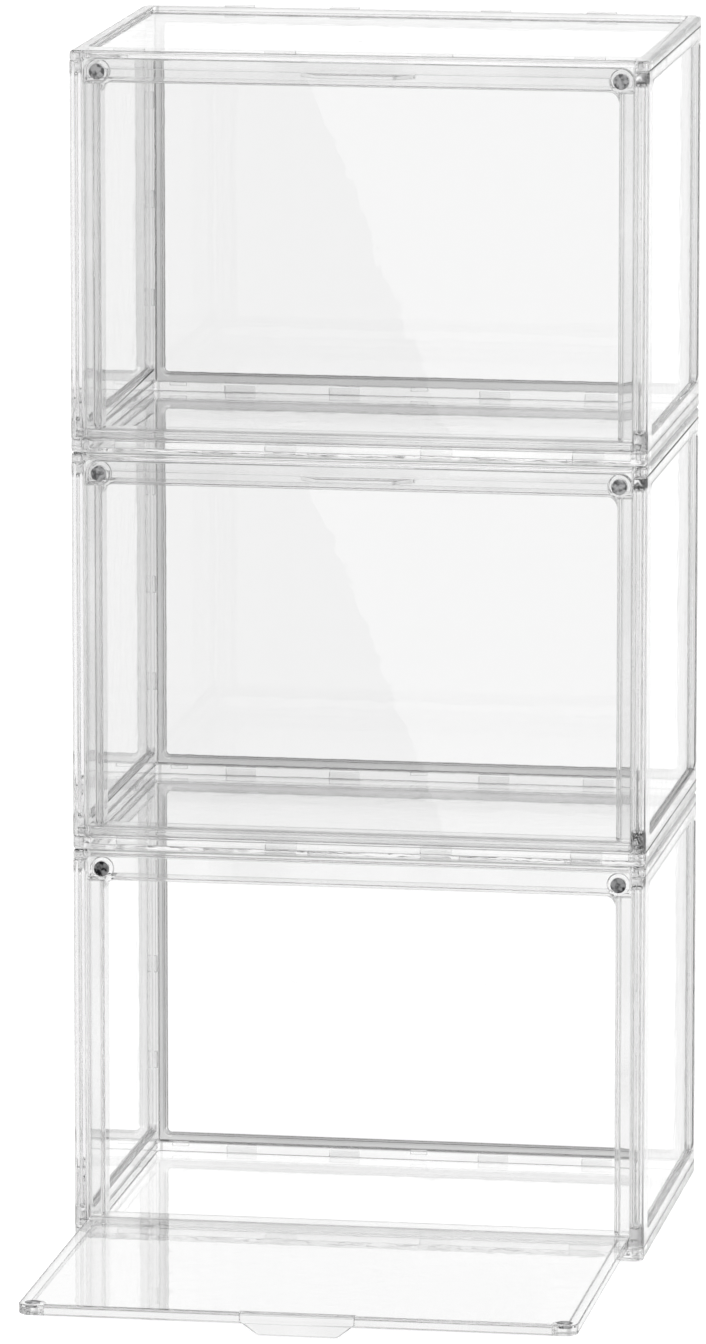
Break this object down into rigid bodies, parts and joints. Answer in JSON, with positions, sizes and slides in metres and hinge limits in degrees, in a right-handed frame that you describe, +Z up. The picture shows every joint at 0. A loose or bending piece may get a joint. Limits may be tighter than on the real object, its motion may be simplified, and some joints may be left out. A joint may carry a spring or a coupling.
{
  "type": "stackable shoe box",
  "caption": "Stack of clear plastic shoe boxes with thick-rimmed panels and drop-down front doors held shut by corner magnets, the bottom door open.",
  "frame": {"origin": "centre of the lowest box's footprint, on the surface it stands on", "axes": "+X to the right across the width, -Y towards the doors, +Z up the stack"},
  "size_m": [0.34, 0.4576, 0.7096],
  "materials": {
    "clear_panel": "clear, polished",
    "clear_door": "clear, polished",
    "magnet": "nickel plated"
  },
  "bodies": {
    "stack": {"lower_base_panel": "clear_panel", "lower_top_panel": "clear_panel", "lower_left_side_panel": "clear_panel", "lower_right_side_panel": "clear_panel", "lower_back_panel": "clear_panel", "lower_left_frame_magnet": "magnet", "lower_right_frame_magnet": "magnet", "middle_base_panel": "clear_panel", "middle_top_panel": "clear_panel", "middle_left_side_panel": "clear_panel", "middle_right_side_panel": "clear_panel", "middle_back_panel": "clear_panel", "middle_left_frame_magnet": "magnet", "middle_right_frame_magnet": "magnet", "upper_base_panel": "clear_panel", "upper_top_panel": "clear_panel", "upper_left_side_panel": "clear_panel", "upper_right_side_panel": "clear_panel", "upper_back_panel": "clear_panel", "upper_left_frame_magnet": "magnet", "upper_right_frame_magnet": "magnet"},
    "lower_door": {"lower_door": "clear_door", "lower_left_door_magnet": "magnet", "lower_right_door_magnet": "magnet"},
    "middle_door": {"middle_door": "clear_door", "middle_left_door_magnet": "magnet", "middle_right_door_magnet": "magnet"},
    "upper_door": {"upper_door": "clear_door", "upper_left_door_magnet": "magnet", "upper_right_door_magnet": "magnet"}
  },
  "joints": [
    {"name": "lower_door_hinge", "type": "hinge", "parent": "stack", "child": "lower_door", "pos_m": [0, -0.117, 0.011], "axis": [1, 0, 0], "range_deg": [-90, 0]},
    {"name": "middle_door_hinge", "type": "hinge", "parent": "stack", "child": "middle_door", "pos_m": [0, -0.117, 0.2472], "axis": [1, 0, 0], "range_deg": [0, 90]},
    {"name": "upper_door_hinge", "type": "hinge", "parent": "stack", "child": "upper_door", "pos_m": [0, -0.117, 0.4834], "axis": [1, 0, 0], "range_deg": [0, 90]}
  ]
}
